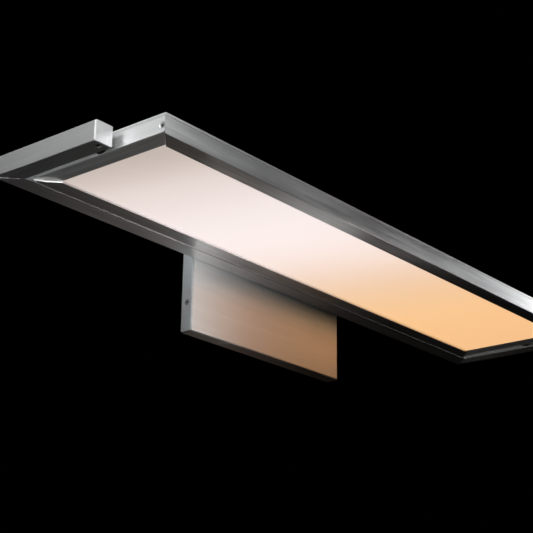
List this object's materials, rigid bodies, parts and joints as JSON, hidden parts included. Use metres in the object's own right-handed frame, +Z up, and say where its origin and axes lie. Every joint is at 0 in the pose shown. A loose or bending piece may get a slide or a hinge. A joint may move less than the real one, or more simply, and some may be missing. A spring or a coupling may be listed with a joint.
{
  "type": "picture light",
  "caption": "Wall-held LED picture light: a flat opal-lit head tilts between the arms of a square-tube U bracket on a shallow wall box.",
  "frame": {"origin": "centre of the wall plate's rear face, on the wall", "axes": "+X along the head, +Y into the wall, +Z up; the light stands out from the wall towards -Y"},
  "size_m": [0.8, 0.206, 0.1],
  "materials": {
    "satin_aluminium": "fine satin anodised, lightly brushed",
    "plate_aluminium": "mill finish",
    "opal_diffuser": "opal acrylic, lit from behind",
    "white_reflector": "matt white",
    "led_board": "white solder mask",
    "stainless_steel": "bright",
    "zinc_steel": "zinc plated",
    "black_nylon": "matt black",
    "fibre_washer": "pressed fibre",
    "black_rubber": "matt",
    "driver_plastic": "moulded white",
    "terminal_plastic": "moulded off-white",
    "lead_sleeve": "white sleeve"
  },
  "bodies": {
    "bracket": {"arm_end_plug_left": "satin_aluminium", "arm_end_plug_right": "satin_aluminium", "arm_set_screw_left": "zinc_steel", "arm_set_screw_right": "zinc_steel", "box_side_screw_left": "stainless_steel", "box_side_screw_right": "stainless_steel", "bracket_corner_key_left": "zinc_steel", "bracket_corner_key_right": "zinc_steel", "crossbar": "satin_aluminium", "crossbar_bolt_left": "zinc_steel", "crossbar_bolt_right": "zinc_steel", "crossbar_nut_left": "zinc_steel", "crossbar_nut_right": "zinc_steel", "lead_grommet": "black_rubber", "led_driver": "driver_plastic", "left_arm": "satin_aluminium", "mains_grommet": "black_rubber", "pivot_nut_left": "zinc_steel", "pivot_nut_right": "zinc_steel", "pivot_spacer_left": "black_nylon", "pivot_spacer_right": "black_nylon", "pivot_tube_left": "zinc_steel", "pivot_tube_right": "zinc_steel", "right_arm": "satin_aluminium", "spring_washer_left": "stainless_steel", "spring_washer_right": "stainless_steel", "supply_lead": "lead_sleeve", "terminal_block": "terminal_plastic", "wall_box_cover": "satin_aluminium", "wall_plate": "plate_aluminium"},
    "head": {"diffuser": "opal_diffuser", "end_screw_left_front": "stainless_steel", "end_screw_left_rear": "stainless_steel", "end_screw_right_front": "stainless_steel", "end_screw_right_rear": "stainless_steel", "friction_washer_left": "fibre_washer", "friction_washer_right": "fibre_washer", "head_corner_key_left_front": "zinc_steel", "head_corner_key_left_rear": "zinc_steel", "head_corner_key_right_front": "zinc_steel", "head_corner_key_right_rear": "zinc_steel", "head_front_rail": "satin_aluminium", "head_lead": "lead_sleeve", "head_left_rail": "satin_aluminium", "head_lid": "satin_aluminium", "head_rear_rail": "satin_aluminium", "head_right_rail": "satin_aluminium", "led_board_1": "led_board", "led_board_2": "led_board", "led_board_3": "led_board", "lid_screw_left_front": "stainless_steel", "lid_screw_left_rear": "stainless_steel", "lid_screw_right_front": "stainless_steel", "lid_screw_right_rear": "stainless_steel", "pivot_block_left": "plate_aluminium", "pivot_block_right": "plate_aluminium", "reflector_frame": "white_reflector"}
  },
  "joints": [
    {"name": "head_tilt", "type": "hinge", "parent": "bracket", "child": "head", "pos_m": [0, -0.129, 0.04], "axis": [1, 0, 0], "range_deg": [-45, 90]}
  ]
}
